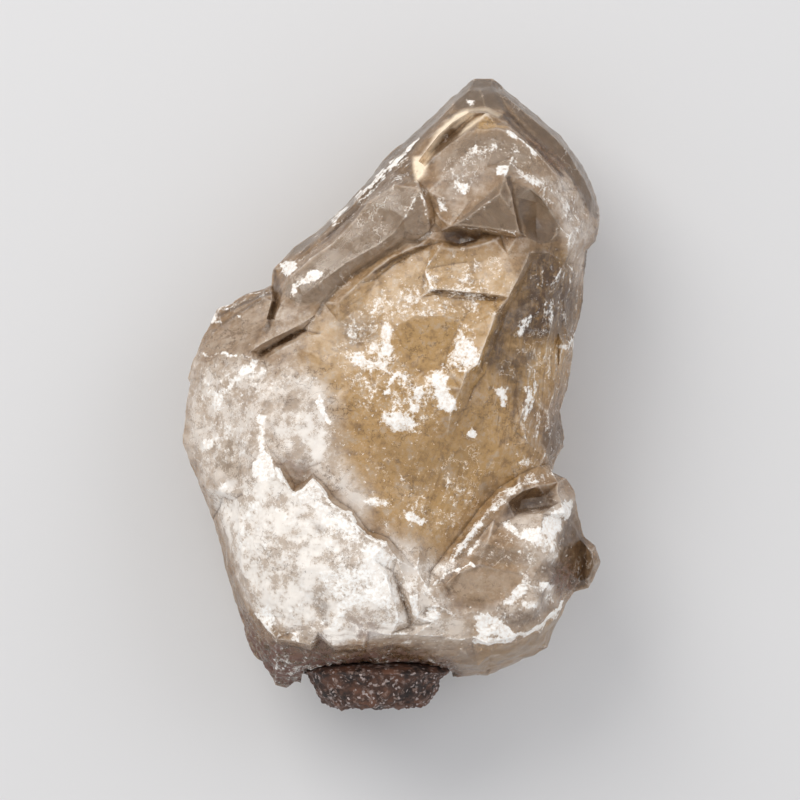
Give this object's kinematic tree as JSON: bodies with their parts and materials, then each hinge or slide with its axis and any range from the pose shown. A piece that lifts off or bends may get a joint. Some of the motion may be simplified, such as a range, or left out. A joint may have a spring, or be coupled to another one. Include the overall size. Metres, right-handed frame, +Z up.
{
  "type": "citrine crystal",
  "caption": "Natural quartz point with a bevelled cap, frosted faces and grown-on crystals, lying on its back as a display specimen.",
  "frame": {"origin": "centre of the box's bottom, on the surface that the crystal lies on", "axes": "+Y from the broken base to the crystal's point, +Z up, out of the front; +X to the right of someone who looks down on the front"},
  "size_m": [0.075, 0.1138, 0.0457],
  "materials": {
    "citrine": "smoky honey quartz, clear windows between white frosted and pitted faces",
    "host_rock": "dark brown-black granular rock with small glinting grains"
  },
  "bodies": {
    "root": {"citrine_crystal": "citrine", "matrix_foot": "host_rock"}
  },
  "joints": []
}
